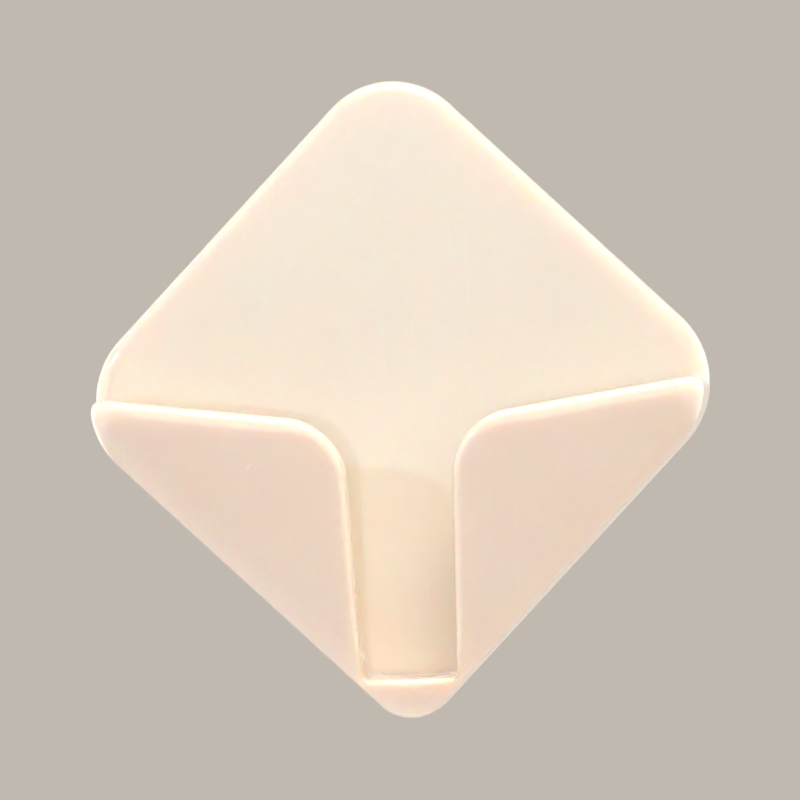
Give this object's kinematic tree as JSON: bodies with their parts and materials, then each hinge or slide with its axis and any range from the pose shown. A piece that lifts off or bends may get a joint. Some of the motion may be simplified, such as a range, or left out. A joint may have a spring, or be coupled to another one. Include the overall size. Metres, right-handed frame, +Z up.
{
  "type": "adhesive wall hook",
  "caption": "Diamond-shaped stick-on wall hook: a flat plate with a shallow open pocket whose front flaps part at a centre slot for a cord, handle or loop.",
  "frame": {"origin": "centre of the adhesive pad's wall side, on the wall plane", "axes": "+Z up, +Y into the wall, so the hook's front faces -Y; +X to the right as seen from the front"},
  "size_m": [0.0568, 0.015, 0.0587],
  "materials": {
    "ivory_plastic": "satin gloss, slightly translucent ivory moulding",
    "foam": "matt closed-cell foam",
    "adhesive": "tacky clear adhesive coat"
  },
  "bodies": {
    "root": {"hook_body": "ivory_plastic", "plate_adhesive": "adhesive", "foam_pad": "foam", "wall_adhesive": "adhesive"}
  },
  "joints": []
}
